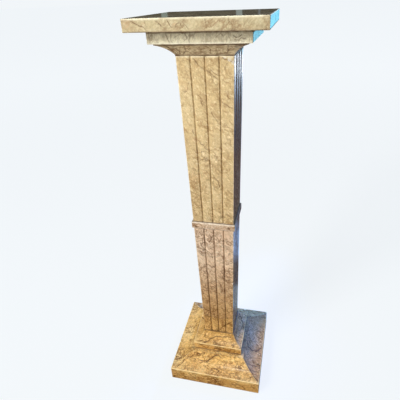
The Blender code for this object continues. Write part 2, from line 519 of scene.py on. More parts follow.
def marble(name, look):
    """Veined polished marble. look holds the tones of one piece and how busy its figure is."""
    s = Stone(name)
    coords = s.new("ShaderNodeTexCoord").outputs["Object"]
    turned = s.new("ShaderNodeMapping")
    s.feed(turned.inputs["Vector"], coords)
    turned.inputs["Rotation"].default_value = look["turn"]
    drawn = s.new("ShaderNodeMapping")
    s.feed(drawn.inputs["Vector"], turned.outputs["Vector"])
    drawn.inputs["Location"].default_value = look["offset"]
    drawn.inputs["Scale"].default_value = look["stretch"]
    place = drawn.outputs["Vector"]

    # the figure of the stone is folded by three sizes of flow
    slow = s.vector("SUBTRACT", s.noise(place, 9, 2, 0.5, 0.0, True), (0.5, 0.5, 0.5))
    quick = s.vector("SUBTRACT", s.noise(place, 46, 2, 0.5, 0.0, True), (0.5, 0.5, 0.5))
    curl = s.vector("SUBTRACT", s.noise(place, 130, 2, 0.5, 0.0, True), (0.5, 0.5, 0.5))
    folded = s.vector("ADD", place, s.vector("SCALE", slow, scale=0.050))
    folded = s.vector("ADD", folded, s.vector("SCALE", quick, scale=0.012))
    curled = s.vector("ADD", place, s.vector("SCALE", quick, scale=0.010))
    curled = s.vector("ADD", curled, s.vector("SCALE", curl, scale=0.006))

    ground, pale, deep = look["ground"], look["pale"], look["deep"]
    brown, red, dark = look["brown"], look["red"], look["dark"]
    busy = look["busy"]

    def ridge(value, reach):
        off = s.math("ABSOLUTE", s.math("SUBTRACT", value, 0.5))
        return s.math("SUBTRACT", 1.0, s.between(off, 0.0, reach))

    cones = s.split(s.attribute("patch", True))

    # broad clouds of tone, with finger-sized ones inside them
    cloud = s.noise(folded, look.get("cloud", 17.0), 6, 0.62)
    colour = s.ramp(
        cloud,
        [
            (0.30, toward(ground, deep, 0.9 * look["clouding"])),
            (0.45, toward(ground, deep, 0.30 * look["clouding"])),
            (0.54, ground),
            (0.68, toward(ground, pale, look["clouding"])),
        ],
    )
    blotch = s.noise(folded, 56, 5, 0.62, 0.2)
    colour = s.mix(s.math("MULTIPLY", s.between(blotch, 0.52, 0.66), 0.34 * busy), colour, toward(ground, brown, 0.55))
    colour = s.mix(s.math("MULTIPLY", s.between(blotch, 0.47, 0.36), 0.26 * busy), colour, pale)

    # drifts where the stone is busier
    drift = s.between(s.noise(place, 14, 3, 0.55), 0.40, 0.62)
    drift = s.math("MAXIMUM", drift, s.between(cones[0], 0.0, 0.45))

    # iron stains
    stain = s.between(s.noise(folded, 27, 5, 0.66, 0.5), 0.55, 0.72)
    stain = s.math("MULTIPLY", stain, look["rust"])
    near = s.math("MULTIPLY", s.between(cones[1], 0.05, 0.8), s.between(s.noise(curled, 88, 4, 0.6), 0.40, 0.58))
    stain = s.math("MAXIMUM", stain, s.math("MULTIPLY", near, 0.50))
    colour = s.mix(stain, colour, toward(red, ground, 0.30))

    # a net of fine squiggles, two meshes of it
    net = ridge(s.noise(curled, 66, 3, 0.55), look["net_width"])
    net = s.math("MULTIPLY", net, s.between(s.noise(place, 37, 2), 0.40, 0.60, 0.10, 1.0))
    if "calm" in look:
        # the figure fades towards one end of the piece
        calm = s.between(s.split(coords)[2], look["calm"][0], look["calm"][1], 1.0, look["calm"][2])
        net = s.math("MULTIPLY", net, calm)
        drift = s.math("MULTIPLY", drift, calm)
    colour = s.mix(s.math("MULTIPLY", net, look["net"]), colour, brown)
    fine = ridge(s.noise(curled, 112, 3, 0.58), look["fine_width"])
    fine = s.math("MULTIPLY", fine, s.math("ADD", s.math("MULTIPLY", drift, 0.75), 0.25))
    colour = s.mix(s.math("MULTIPLY", fine, look["net"]), colour, toward(brown, ground, 0.15))

    # pale and dark crumbs between them
    crumb = s.noise(curled, 185, 3, 0.62)
    colour = s.mix(s.math("MULTIPLY", s.between(crumb, 0.55, 0.68), 0.62 * busy), colour, scaled(pale, 1.10))
    crumbs = s.math("MULTIPLY", s.between(crumb, 0.45, 0.33), drift)
    colour = s.mix(s.math("MULTIPLY", crumbs, 0.60 * busy), colour, toward(brown, dark, 0.25))

    # dark threads, where a folded field crosses its middle value
    width = s.between(s.noise(place, 26, 2), 0.3, 0.7, 0.003 * look["thread_width"], 0.016 * look["thread_width"])
    thread = s.noise(folded, 15, 4, 0.55)
    thread = s.math("ABSOLUTE", s.math("SUBTRACT", thread, 0.5))
    thread = s.math("SUBTRACT", 1.0, s.between(thread, 0.0, width))
    thread = s.math("MULTIPLY", thread, s.between(s.noise(place, 19, 2, 0.5), 0.47, 0.60))
    colour = s.mix(s.math("MULTIPLY", thread, look["threads"]), colour, toward(dark, brown, 0.25))
    hair = ridge(s.noise(folded, 38, 5, 0.6, 0.6), 0.013 * look["thread_width"])
    hair = s.math("MULTIPLY", hair, s.between(s.noise(place, 30, 2), 0.46, 0.60))
    colour = s.mix(s.math("MULTIPLY", hair, look["threads"] * 0.8), colour, brown)

    # veins with a place of their own
    wander = s.math("SUBTRACT", s.noise(place, 150, 3, 0.6), 0.5)
    wander = s.math("MULTIPLY", wander, 0.0042)
    vein_total = None
    for layer in ("vein_a", "vein_b", "vein_c"):
        signed, strength, width = s.split(s.attribute(layer, True))
        away = s.math("ABSOLUTE", s.math("ADD", signed, wander))
        broad = s.math("MULTIPLY", width, s.between(s.noise(place, 85, 2), 0.3, 0.7, 0.45 * look["vein_width"], 1.5 * look["vein_width"]))
        core = s.math("SUBTRACT", 1.0, s.between(away, 0.0, broad))
        halo = s.math("SUBTRACT", 1.0, s.between(away, 0.0, s.math("MULTIPLY", width, 2.8 * look["vein_width"])))
        value = s.math("MULTIPLY", s.math("ADD", s.math("MULTIPLY", halo, 0.20), core), strength, clamp=True)
        vein_total = value if vein_total is None else s.math("MAXIMUM", vein_total, value)
    vein_tone = s.mix(s.between(s.noise(place, 24, 2), 0.4, 0.6), toward(dark, brown, 0.20), toward(brown, dark, 0.55))
    colour = s.mix(s.math("MULTIPLY", vein_total, look["veins"]), colour, vein_tone)

    # the filled corner
    ragged = s.math("MULTIPLY", s.math("SUBTRACT", s.noise(place, 120, 4, 0.65), 0.5), 0.9)
    area = s.between(s.math("ADD", cones[2], ragged), 0.22, 0.44)
    area = s.math("MULTIPLY", area, s.between(cones[2], 0.02, 0.20))
    colour = s.mix(s.math("MULTIPLY", area, 0.46), colour, look.get("fill", pale))

    # the tone changes towards the foot of the piece, with one sharper break; on the upper shaft this is painted light,
    # paler towards the foot to make up for the light falling off downwards
    if "foot" in look:
        height = s.split(coords)[2]
        uneven = s.math("MULTIPLY", s.math("SUBTRACT", s.noise(place, 30, 3), 0.5), 0.05)
        height = s.math("ADD", height, uneven)
        low_part = s.between(height, look["foot"][1], look["foot"][0])
        colour = s.mix(low_part, colour, s.mix(1.0, colour, look["foot"][2], "MULTIPLY"))
        break_at = s.between(height, look["foot"][3] + 0.003, look["foot"][3] - 0.003)
        colour = s.mix(break_at, colour, s.mix(1.0, colour, look["foot"][4], "MULTIPLY"))

    # painted light: the right and the back of the piece are tinted to stand in for the cool light falling there, and
    # the dirt and shade there are painted nearly black as painted shade
    grime = look["grime"]
    if "greyer" in look:
        right, back, _ = s.split(coords)
        share = s.between(s.math("ADD", right, back), -0.003, 0.003)
        colour = s.mix(share, colour, s.mix(1.0, colour, look["greyer"], "MULTIPLY"))
        grime = s.mix(share, grime, (0.020, 0.024, 0.040))

    # crystals
    grain = s.noise(place, 300, 4, 0.7)
    colour = s.mix(1.0, colour, s.new_grey(s.between(grain, 0.28, 0.72, 0.84, 1.15)), "MULTIPLY")

    # pale rubbed arrises with a painted highlight on them, and dirt in the grooves and along the joints, with painted
    # shade in the grooves, under overhangs and on the ledges
    wear = s.math("MULTIPLY", s.attribute("wear"), s.between(s.noise(place, 90, 3), 0.35, 0.60, 0.45, 1.0))
    colour = s.mix(s.math("MULTIPLY", wear, 0.95), colour, look["rubbed"])
    chip = s.attribute("chip")
    colour = s.mix(s.math("MULTIPLY", s.between(chip, 0.08, 0.45), 0.75), colour, scaled(pale, 1.08))
    dirt = s.math("MULTIPLY", s.attribute("dirt"), s.between(s.noise(place, 70, 3), 0.3, 0.6, 0.62, 1.0))
    colour = s.mix(dirt, colour, grime)

    s.feed(s.shader.inputs["Base Color"], colour)

    # polish: a touch duller on the veins, in the grooves and where hands and feet rub
    dull = s.between(s.noise(place, 42, 4, 0.6), 0.35, 0.7, look["gloss"] - 0.035, look["gloss"] + 0.06)
    dull = s.math("ADD", dull, s.math("MULTIPLY", vein_total, 0.10))
    dull = s.math("ADD", dull, s.math("MULTIPLY", fine, 0.03))
    dull = s.math("ADD", dull, s.math("MULTIPLY", dirt, 0.55))
    dull = s.math("ADD", dull, s.math("MULTIPLY", chip, 0.35), clamp=True)
    s.feed(s.shader.inputs["Roughness"], dull)
    s.shader.inputs["IOR"].default_value = 1.52
    s.shader.inputs["Specular IOR Level"].default_value = look.get("specular", 0.5)

    # pores along the veins and the faint orange peel of a hand polish
    height = s.math("MULTIPLY", s.noise(place, 240, 3, 0.6), 0.00005)
    height = s.math("ADD", height, s.math("MULTIPLY", vein_total, -0.00012))
    height = s.math("ADD", height, s.math("MULTIPLY", fine, -0.00003))
    bump = s.new("ShaderNodeBump")
    bump.inputs["Strength"].default_value = 0.35
    bump.inputs["Distance"].default_value = 1.0
    s.feed(bump.inputs["Height"], height)
    s.feed(s.shader.inputs["Normal"], bump.outputs["Normal"])
    return s.material


def new_grey(self, value):
    node = self.new("ShaderNodeCombineColor")
    for socket in node.inputs:
        self.feed(socket, value)
    return node.outputs[0]


Stone.new_grey = new_grey


# ---- the stone of each piece -----------------------------------------------
BASE = dict(
    rubbed=(1.0, 0.78, 0.38),
    ground=(0.84, 0.52, 0.172),
    pale=(0.98, 0.74, 0.34),
    deep=(0.64, 0.35, 0.100),
    brown=(0.235, 0.100, 0.030),
    red=(0.38, 0.125, 0.050),
    dark=(0.080, 0.036, 0.018),
    grime=(0.085, 0.042, 0.018),
    stretch=(0.62, 1.0, 1.0),
    clouding=0.65,
    busy=0.72,
    net=0.84,
    net_width=0.070,
    fine_width=0.090,
    rust=0.35,
    threads=0.9,
    thread_width=1.9,
    veins=1.0,
    vein_width=2.1,
    gloss=0.16,
)


def look_of(**changes):
    made = dict(BASE)
    made.update(changes)
    return made


LOOKS = {
    "plinth": look_of(
        offset=(3.1, 1.7, 0.4),
        turn=(0.0, 0.35, 0.15),
        foot=(0.020, 0.054, (0.80, 0.74, 0.68), -1.0, (1.0, 1.0, 1.0)),
        # painted light: the right and back of the plinth are made darker and bluer
        greyer=(0.84, 0.81, 1.02),
    ),
    "base_step": look_of(
        offset=(7.3, 2.9, 1.1),
        turn=(0.2, 0.5, 0.1),
        ground=(0.72, 0.435, 0.138),
        pale=(0.90, 0.65, 0.30),
        foot=(0.1015, 0.1075, (0.86, 0.76, 0.62), -1.0, (1.0, 1.0, 1.0)),
        # painted light: the right and back of the step are made paler and bluer
        greyer=(1.18, 1.21, 1.48),
        net=0.62,
    ),
    "lower_shaft": look_of(
        offset=(4.7, 3.1, 7.3),
        turn=(0.0, -0.75, 0.4),
        grooves=0.48,
        ground=(0.85, 0.65, 0.465),
        pale=(0.96, 0.84, 0.67),
        deep=(0.64, 0.43, 0.270),
        brown=(0.22, 0.110, 0.060),
        net=0.82,
        clouding=0.42,
        threads=0.75,
        foot=(0.22, 0.50, (0.70, 0.56, 0.335), 0.205, (1.18, 1.16, 0.96)),
        grime=(0.12, 0.062, 0.030),
    ),
    "collar": look_of(
        offset=(5.5, 4.4, 6.2),
        turn=(0.0, 0.4, 0.1),
        rubbed=(0.96, 0.86, 0.72),
        ground=(0.76, 0.58, 0.415),
        pale=(0.92, 0.79, 0.62),
        deep=(0.42, 0.26, 0.150),
        vein_width=2.0,
    ),
    "upper_shaft": look_of(
        offset=(9.2, 3.3, 5.1),
        turn=(0.0, -0.90, -0.5),
        stretch=(0.5, 1.0, 1.0),
        calm=(0.76, 0.95, 0.60),
        grooves=0.33,
        rubbed=(0.98, 0.90, 0.66),
        # painted light: paler towards the foot of the upper shaft, to make up for the light falling off downwards
        foot=(0.62, 0.93, (1.31, 1.29, 1.27), -1.0, (1.0, 1.0, 1.0)),
        # painted light: the right and back of the upper shaft are made a little paler and bluer
        greyer=(1.05, 1.00, 1.08),
        ground=(0.565, 0.445, 0.250),
        pale=(0.71, 0.61, 0.395),
        deep=(0.49, 0.355, 0.172),
        brown=(0.27, 0.150, 0.060),
        clouding=0.38,
        busy=0.88,
        net=0.70,
        rust=0.22,
        threads=0.50,
        thread_width=1.4,
        veins=0.72,
        vein_width=1.8,
        fill=(0.72, 0.70, 0.62),
        grime=(0.20, 0.110, 0.045),
    ),
    "neck_moulding": look_of(
        offset=(2.6, 6.6, 9.9),
        turn=(0.3, 0.2, 0.0),
        rubbed=(0.86, 0.76, 0.56),
        ground=(0.65, 0.565, 0.375),
        pale=(0.83, 0.73, 0.52),
        deep=(0.40, 0.28, 0.150),
        brown=(0.20, 0.12, 0.065),
        rust=0.2,
        vein_width=1.5,
    ),
    "under_slab": look_of(
        offset=(4.8, 9.1, 3.7),
        turn=(0.0, 1.3, 0.2),
        rubbed=(0.90, 0.88, 0.74),
        ground=(0.70, 0.66, 0.485),
        pale=(0.86, 0.83, 0.67),
        deep=(0.48, 0.40, 0.260),
        brown=(0.26, 0.185, 0.115),
        rust=0.10,
        clouding=0.45,
        busy=0.46,
        net=0.44,
        net_width=0.060,
        threads=0.6,
        thread_width=1.3,
        veins=0.75,
        vein_width=1.15,
    ),
    "top_slab": look_of(
        offset=(6.7, 5.2, 8.3),
        turn=(0.1, 0.6, 0.1),
        ground=(0.53, 0.460, 0.290),
        pale=(0.68, 0.625, 0.440),
        deep=(0.46, 0.365, 0.200),
        brown=(0.25, 0.150, 0.075),
        rust=0.25,
        rubbed=(0.90, 0.84, 0.64),
        clouding=0.42,
        busy=0.55,
        net=0.66,
        net_width=0.055,
        threads=0.55,
        thread_width=1.3,
        vein_width=1.05,
        veins=0.72,
        gloss=0.10,
    ),
}

# which layer, half width in metres, strength, and the corners it runs through
VEINS = {
    "plinth": [
        (0, 0.0011, 1.0, [(-0.144, -0.116, 0.049), (-0.132, -0.108, 0.051), (-0.120, -0.103, 0.055), (-0.105, -0.099, 0.063), (-0.095, -0.094, 0.072)]),
        (1, 0.0008, 0.9, [(-0.100, -0.102, 0.065), (-0.108, -0.118, 0.056), (-0.121, -0.132, 0.051), (-0.126, -0.142, 0.044)]),
        (0, 0.0010, 1.0, [(-0.064, -0.102, 0.065), (-0.053, -0.106, 0.062), (-0.040, -0.106, 0.062), (-0.027, -0.104, 0.063), (-0.018, -0.099, 0.068), (-0.012, -0.093, 0.074), (-0.003, -0.089, 0.078), (0.007, -0.089, 0.078), (0.021, -0.094, 0.072)]),
        (1, 0.0009, 0.9, [(-0.046, -0.087, 0.081), (-0.040, -0.088, 0.080), (-0.043, -0.092, 0.075), (-0.049, -0.096, 0.071)]),
        (1, 0.0009, 0.9, [(-0.101, -0.097, 0.069), (-0.095, -0.102, 0.065), (-0.086, -0.103, 0.064), (-0.079, -0.098, 0.069), (-0.075, -0.091, 0.076), (-0.067, -0.087, 0.080)]),
        (2, 0.0008, 0.8, [(-0.071, -0.125, 0.053), (-0.071, -0.133, 0.051), (-0.067, -0.140, 0.049)]),
        (0, 0.0009, 0.9, [(-0.013, -0.125, 0.053), (-0.003, -0.121, 0.054), (0.007, -0.122, 0.054), (0.014, -0.125, 0.053), (0.007, -0.133, 0.050), (0.006, -0.140, 0.049)]),
        (1, 0.0008, 0.8, [(0.044, -0.129, 0.051), (0.056, -0.126, 0.052), (0.068, -0.122, 0.054), (0.077, -0.117, 0.056)]),
        (0, 0.0011, 0.9, [(-0.004, -0.142, 0.044), (0.000, -0.142, 0.034), (0.007, -0.142, 0.026), (0.016, -0.142, 0.014), (0.029, -0.142, 0.004)]),
        (2, 0.0009, 0.7, [(0.060, -0.142, 0.040), (0.072, -0.142, 0.028), (0.090, -0.142, 0.022), (0.104, -0.142, 0.008)]),
        (1, 0.0009, 0.7, [(-0.085, -0.142, 0.042), (-0.074, -0.142, 0.026), (-0.062, -0.142, 0.020), (-0.055, -0.142, 0.006)]),
        # not a vein: a painted shadow line on the right ledge along the step's foot
        (0, 0.0024, 1.0, [(0.0796, -0.0776, 0.083), (0.0802, -0.030, 0.083), (0.0796, 0.020, 0.083), (0.0800, 0.0776, 0.083)]),
        # not a vein: a painted shadow line on the front ledge below the step
        (0, 0.0012, 0.8, [(-0.008, -0.0796, 0.083), (0.020, -0.0796, 0.083), (0.050, -0.0796, 0.083), (0.0776, -0.0796, 0.083)]),
        (0, 0.0016, 1.0, [(0.090, -0.026, 0.077), (0.096, -0.034, 0.070), (0.108, -0.038, 0.061), (0.122, -0.033, 0.054), (0.137, -0.016, 0.050), (0.141, 0.001, 0.049)]),
        # not a vein: a dark line drawn along the front-right hip of the splay
        (0, 0.0013, 0.8, [(0.090, -0.087, 0.077), (0.097, -0.094, 0.070), (0.105, -0.102, 0.063), (0.113, -0.110, 0.0575), (0.121, -0.118, 0.054), (0.131, -0.128, 0.051), (0.139, -0.136, 0.049)]),
        (1, 0.0009, 0.9, [(0.098, -0.090, 0.068), (0.105, -0.089, 0.063), (0.121, -0.087, 0.054), (0.139, -0.086, 0.049)]),
        (2, 0.0009, 0.9, [(0.112, -0.106, 0.058), (0.121, -0.105, 0.054), (0.131, -0.104, 0.051), (0.139, -0.104, 0.049)]),
        (0, 0.0009, 0.7, [(0.115, 0.030, 0.057), (0.121, 0.027, 0.054), (0.131, 0.021, 0.051), (0.137, 0.030, 0.050), (0.142, 0.036, 0.040)]),
    ],
    "base_step": [
        (0, 0.0010, 1.0, [(-0.076, -0.072, 0.113), (-0.069, -0.072, 0.113), (-0.056, -0.071, 0.114), (-0.042, -0.073, 0.113), (-0.030, -0.067, 0.116), (-0.021, -0.061, 0.121), (-0.012, -0.057, 0.125), (0.005, -0.055, 0.128), (0.021, -0.054, 0.130), (0.038, -0.053, 0.130), (0.047, -0.053, 0.131)]),
        (1, 0.0015, 1.0, [(-0.011, -0.078, 0.099), (0.002, -0.078, 0.094), (0.018, -0.078, 0.092), (0.035, -0.078, 0.088)]),
        (2, 0.0012, 0.9, [(0.011, -0.078, 0.085), (0.035, -0.078, 0.085), (0.054, -0.078, 0.086), (0.074, -0.078, 0.087)]),
        (2, 0.0008, 0.7, [(-0.060, -0.078, 0.106), (-0.048, -0.078, 0.098), (-0.040, -0.078, 0.088)]),
        (1, 0.0008, 0.7, [(0.058, -0.020, 0.124), (0.066, -0.008, 0.118), (0.070, 0.010, 0.115), (0.066, 0.028, 0.118)]),
    ],
    "lower_shaft": [
        (0, 0.0009, 1.0, [(-0.006, -0.046, 0.146), (0.004, -0.046, 0.152), (0.019, -0.047, 0.175), (0.034, -0.047, 0.189), (0.044, -0.047, 0.200)]),
        (1, 0.0009, 0.7, [(-0.042, -0.047, 0.207), (-0.026, -0.048, 0.227), (-0.014, -0.048, 0.236)]),
        (0, 0.0008, 0.8, [(-0.016, -0.052, 0.508), (-0.013, -0.052, 0.514), (-0.009, -0.053, 0.521), (-0.004, -0.053, 0.529), (0.004, -0.053, 0.534)]),
        (1, 0.0008, 0.8, [(-0.020, -0.051, 0.430), (-0.012, -0.051, 0.420), (-0.004, -0.051, 0.424), (0.003, -0.051, 0.412), (-0.006, -0.050, 0.402), (-0.016, -0.050, 0.408)]),
        (2, 0.0008, 0.8, [(0.012, -0.050, 0.410), (0.022, -0.050, 0.398), (0.018, -0.050, 0.384), (0.030, -0.050, 0.372), (0.038, -0.050, 0.378)]),
        (0, 0.0008, 0.6, [(-0.044, -0.049, 0.345), (-0.030, -0.049, 0.330), (-0.018, -0.049, 0.336), (-0.006, -0.048, 0.318)]),
        (1, 0.0008, 0.6, [(0.006, -0.048, 0.300), (0.020, -0.048, 0.286), (0.030, -0.048, 0.290), (0.044, -0.048, 0.270)]),
        (2, 0.0008, 0.6, [(-0.046, -0.051, 0.470), (-0.036, -0.051, 0.458), (-0.030, -0.051, 0.462)]),
    ],
    "upper_shaft": [
        (0, 0.0012, 0.9, [(-0.030, -0.058, 0.806), (-0.025, -0.057, 0.800), (-0.015, -0.057, 0.791), (-0.009, -0.057, 0.781), (0.000, -0.057, 0.777), (0.008, -0.057, 0.779)]),
        (1, 0.0009, 0.9, [(0.024, -0.054, 0.612), (0.031, -0.054, 0.606), (0.041, -0.054, 0.603), (0.052, -0.054, 0.598)]),
        (0, 0.0010, 1.0, [(-0.026, -0.060, 0.974), (-0.019, -0.060, 0.969), (-0.011, -0.060, 0.960), (-0.001, -0.060, 0.952), (0.007, -0.060, 0.949), (0.013, -0.059, 0.944), (0.020, -0.059, 0.938), (0.027, -0.059, 0.933)]),
        (1, 0.0009, 0.9, [(0.010, -0.060, 0.955), (0.016, -0.060, 0.949), (0.022, -0.059, 0.943), (0.030, -0.059, 0.941)]),
        (0, 0.0010, 0.9, [(0.022, -0.059, 0.895), (0.028, -0.059, 0.891), (0.036, -0.058, 0.885), (0.045, -0.058, 0.880), (0.056, -0.058, 0.876)]),
        (1, 0.0008, 0.9, [(-0.020, -0.059, 0.904), (-0.017, -0.059, 0.900), (-0.009, -0.059, 0.889), (-0.003, -0.058, 0.884)]),
        (2, 0.0011, 1.0, [(0.034, -0.060, 0.977), (0.036, -0.060, 0.976), (0.046, -0.060, 0.971), (0.059, -0.060, 0.964)]),
        (2, 0.0008, 0.7, [(-0.036, -0.059, 0.928), (-0.041, -0.059, 0.921), (-0.039, -0.059, 0.914), (-0.046, -0.059, 0.908), (-0.052, -0.059, 0.909)]),
        (0, 0.0009, 0.7, [(0.006, -0.055, 0.702), (0.004, -0.055, 0.690), (0.008, -0.055, 0.676), (0.016, -0.055, 0.668)]),
        (1, 0.0008, 0.6, [(-0.044, -0.056, 0.735), (-0.036, -0.056, 0.722), (-0.028, -0.056, 0.724), (-0.020, -0.055, 0.708)]),
        (2, 0.0008, 0.6, [(-0.022, -0.055, 0.650), (-0.014, -0.055, 0.640), (-0.002, -0.054, 0.642), (0.008, -0.054, 0.628)]),
        (1, 0.0009, 0.9, [(-0.014, -0.059, 0.893), (-0.011, -0.058, 0.884), (-0.009, -0.058, 0.877)]),
        (2, 0.0008, 0.8, [(-0.039, -0.058, 0.827), (-0.035, -0.057, 0.819), (-0.030, -0.057, 0.811)]),
        (1, 0.0009, 0.9, [(0.006, -0.056, 0.721), (0.009, -0.056, 0.707), (0.017, -0.055, 0.700), (0.020, -0.055, 0.687), (0.016, -0.055, 0.675)]),
        (0, 0.0009, 0.8, [(0.000, -0.055, 0.700), (-0.012, -0.055, 0.702)]),
        (2, 0.0008, 0.8, [(0.046, -0.057, 0.809), (0.050, -0.057, 0.803), (0.048, -0.057, 0.796), (0.052, -0.057, 0.789)]),
        (0, 0.0008, 0.8, [(0.006, -0.057, 0.768), (0.015, -0.057, 0.765), (0.018, -0.056, 0.757)]),
        (1, 0.0008, 0.8, [(0.042, -0.059, 0.913), (0.047, -0.059, 0.905), (0.044, -0.059, 0.899), (0.051, -0.059, 0.893)]),
        (0, 0.0008, 0.7, [(0.008, -0.058, 0.869), (0.012, -0.058, 0.858), (0.019, -0.058, 0.850), (0.022, -0.058, 0.841)]),
    ],
    "neck_moulding": [
        (0, 0.0012, 1.0, [(-0.070, -0.092, 1.003), (-0.067, -0.084, 0.999), (-0.063, -0.071, 0.991), (-0.057, -0.060, 0.980)]),
        (1, 0.0010, 0.9, [(-0.030, -0.090, 1.003), (-0.032, -0.085, 1.000), (-0.034, -0.072, 0.992), (-0.039, -0.064, 0.984), (-0.044, -0.060, 0.979)]),
        (0, 0.0010, 0.8, [(0.010, -0.088, 1.002), (0.016, -0.072, 0.992), (0.012, -0.062, 0.982)]),
        (1, 0.0011, 0.9, [(0.055, -0.090, 1.003), (0.052, -0.083, 0.999), (0.050, -0.068, 0.989), (0.045, -0.061, 0.981)]),
    ],
    "under_slab": [
        (0, 0.0011, 1.0, [(-0.061, -0.100, 1.022), (-0.059, -0.100, 1.016), (-0.058, -0.100, 1.011), (-0.055, -0.100, 1.007)]),
        (1, 0.0009, 0.9, [(-0.050, -0.100, 1.022), (-0.052, -0.100, 1.015), (-0.052, -0.100, 1.010), (-0.047, -0.100, 1.005)]),
        (0, 0.0011, 1.0, [(-0.018, -0.100, 1.021), (-0.016, -0.100, 1.017), (-0.018, -0.100, 1.012), (-0.016, -0.100, 1.005)]),
        (2, 0.0008, 0.8, [(-0.032, -0.100, 1.021), (-0.041, -0.100, 1.018), (-0.045, -0.100, 1.015)]),
        (1, 0.0010, 0.9, [(0.064, -0.100, 1.019), (0.070, -0.100, 1.014), (0.077, -0.100, 1.016), (0.081, -0.100, 1.020)]),
        (2, 0.0010, 0.8, [(0.065, -0.100, 1.012), (0.072, -0.100, 1.010), (0.079, -0.100, 1.014), (0.086, -0.100, 1.012), (0.090, -0.100, 1.017)]),
        (0, 0.0009, 0.8, [(0.032, -0.100, 1.014), (0.037, -0.100, 1.018), (0.043, -0.100, 1.021), (0.048, -0.100, 1.015)]),
        (1, 0.0008, 0.7, [(0.007, -0.100, 1.009), (0.015, -0.100, 1.008), (0.024, -0.100, 1.010)]),
    ],
    "top_slab": [
        (0, 0.0012, 0.9, [(-0.116, -0.132, 1.048), (-0.110, -0.132, 1.045), (-0.101, -0.132, 1.040), (-0.090, -0.132, 1.036), (-0.083, -0.132, 1.029)]),
        (1, 0.0009, 0.8, [(-0.066, -0.132, 1.048), (-0.061, -0.132, 1.042), (-0.055, -0.132, 1.036), (-0.048, -0.132, 1.029)]),
        (0, 0.0010, 0.9, [(-0.046, -0.132, 1.047), (-0.043, -0.132, 1.042), (-0.039, -0.132, 1.036), (-0.036, -0.132, 1.034)]),
        (1, 0.0009, 0.8, [(-0.031, -0.132, 1.034), (-0.029, -0.132, 1.039), (-0.024, -0.132, 1.042), (-0.020, -0.132, 1.037), (-0.017, -0.132, 1.032)]),
        (0, 0.0008, 0.8, [(-0.068, -0.132, 1.047), (-0.063, -0.132, 1.043), (-0.058, -0.132, 1.038), (-0.057, -0.132, 1.033)]),
        (2, 0.0008, 0.7, [(-0.087, -0.132, 1.047), (-0.086, -0.132, 1.042), (-0.084, -0.132, 1.036)]),
        (1, 0.0008, 0.8, [(-0.021, -0.132, 1.045), (-0.016, -0.132, 1.041), (-0.011, -0.132, 1.036), (-0.007, -0.132, 1.030)]),
        (1, 0.0008, 0.8, [(0.021, -0.132, 1.048), (0.023, -0.132, 1.040), (0.026, -0.132, 1.030)]),
        (0, 0.0008, 0.7, [(0.063, -0.132, 1.049), (0.063, -0.132, 1.043), (0.068, -0.132, 1.038), (0.071, -0.132, 1.030)]),
    ],
}

# which tint (0 dark, 1 rusty, 2 pale), radius, centre
PATCHES = {
    "plinth": [
        (1, 0.014, (0.044, -0.104, 0.063)),
        (0, 0.012, (-0.020, -0.133, 0.050)),
        (0, 0.010, (0.006, -0.130, 0.051)),
        (1, 0.012, (-0.050, -0.142, 0.022)),
        (0, 0.008, (-0.090, -0.136, 0.050)),
        (0, 0.007, (0.060, -0.133, 0.050)),
        (1, 0.013, (-0.075, -0.120, 0.055)),
        (1, 0.016, (-0.120, 0.030, 0.055)),
        (1, 0.014, (-0.105, -0.050, 0.064)),
    ],
    "base_step": [
        (0, 0.013, (-0.004, -0.078, 0.100)),
        (1, 0.012, (0.024, -0.078, 0.098)),
        (1, 0.009, (-0.030, -0.070, 0.115)),
    ],
    "lower_shaft": [
        (1, 0.013, (0.004, -0.047, 0.212)),
        (1, 0.012, (-0.010, -0.050, 0.400)),
        (0, 0.010, (0.018, -0.050, 0.390)),
        (1, 0.012, (0.012, -0.049, 0.330)),
        (1, 0.012, (0.036, -0.048, 0.280)),
        (0, 0.010, (0.030, -0.048, 0.240)),
        (1, 0.010, (-0.016, -0.048, 0.235)),
        (0, 0.009, (0.008, -0.047, 0.204)),
        (1, 0.012, (-0.030, -0.052, 0.500)),
    ],
    "upper_shaft": [
        (2, 0.0050, (0.041, -0.060, 0.976)),
        (2, 0.0062, (0.050, -0.060, 0.972)),
        (2, 0.0058, (0.058, -0.060, 0.966)),
        (1, 0.011, (-0.040, -0.059, 0.917)),
        (0, 0.012, (0.012, -0.055, 0.688)),
        (1, 0.014, (-0.030, -0.057, 0.800)),
        (0, 0.010, (-0.010, -0.057, 0.792)),
    ],
    "neck_moulding": [(0, 0.016, (0.030, -0.074, 0.993)), (1, 0.012, (-0.064, -0.072, 0.991))],
    "under_slab": [(0, 0.020, (0.046, -0.100, 1.016)), (0, 0.014, (0.078, -0.100, 1.012))],
    "top_slab": [(1, 0.014, (-0.118, -0.132, 1.040)), (1, 0.010, (-0.032, -0.132, 1.036))],
}


# ---- building the eight pieces ---------------------------------------------
def splayed_outline(half, edge_top, ledge, lip, bottom, top, hollow, arris):
    corners = [(INNERMOST, bottom), (half, bottom)]
    arc = hollow_arc((half, edge_top), (ledge, top - lip), hollow, 30)
    corners += arc
    corners += [(ledge, top), (INNERMOST, top)]
    radii = {1: (arris, 0.3), 2: (arris, 1.0), len(corners) - 3: (arris * 0.3, 0.0), len(corners) - 2: (arris * 0.4, 0.2)}
    return eased(corners, radii)


def slab_outline(half, bottom, top, arris, rubbed=(0.35, 0.35)):
    corners = [(INNERMOST, bottom), (half, bottom), (half, top), (INNERMOST, top)]
    return eased(corners, {1: (arris, rubbed[0]), 2: (arris, rubbed[1])})


